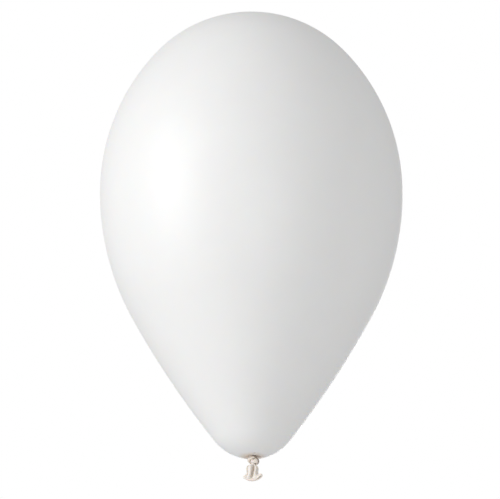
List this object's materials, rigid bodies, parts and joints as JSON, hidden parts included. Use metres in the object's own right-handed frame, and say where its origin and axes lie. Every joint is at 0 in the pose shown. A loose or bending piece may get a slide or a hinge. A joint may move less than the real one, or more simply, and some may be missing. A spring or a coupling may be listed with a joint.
{
  "type": "latex balloon",
  "caption": "Inflated white latex party balloon, teardrop shaped, closed by an overhand knot in its own neck, with a flattened tail and a rolled lip.",
  "frame": {"origin": "middle of the gathered neck between the envelope and the knot, where a ribbon is tied", "axes": "+Z along the balloon's axis from the neck to the crown; the flattened tail is wide along X and its front faces -Y"},
  "size_m": [0.28, 0.2798, 0.4463],
  "materials": {
    "stretched_film": "smooth satin latex, opaque white, soft broad highlights",
    "slack_film": "thicker unstretched latex, matte, cream with fine creases",
    "rolled_film": "rolled latex bead, matte, a little darker cream"
  },
  "bodies": {
    "envelope": {"balloon_body": "stretched_film", "neck_gather": "slack_film"},
    "knot": {"knot": "slack_film"},
    "tail": {"tail_throat": "slack_film", "tail_skirt": "slack_film", "rolled_lip": "rolled_film"}
  },
  "joints": [
    {"name": "neck_tilt", "type": "hinge", "parent": "envelope", "child": "knot", "pos_m": [0, 0, 0], "axis": [0, 1, 0], "range_deg": [-20, 20], "stiffness_Nm_per_rad": 0.0003, "deforming": ["neck_gather"]},
    {"name": "tail_flap", "type": "hinge", "parent": "knot", "child": "tail", "pos_m": [0, 0, -0.0088], "axis": [1, 0, 0], "range_deg": [-60, 60], "stiffness_Nm_per_rad": 0.0001, "deforming": ["tail_throat"]}
  ]
}
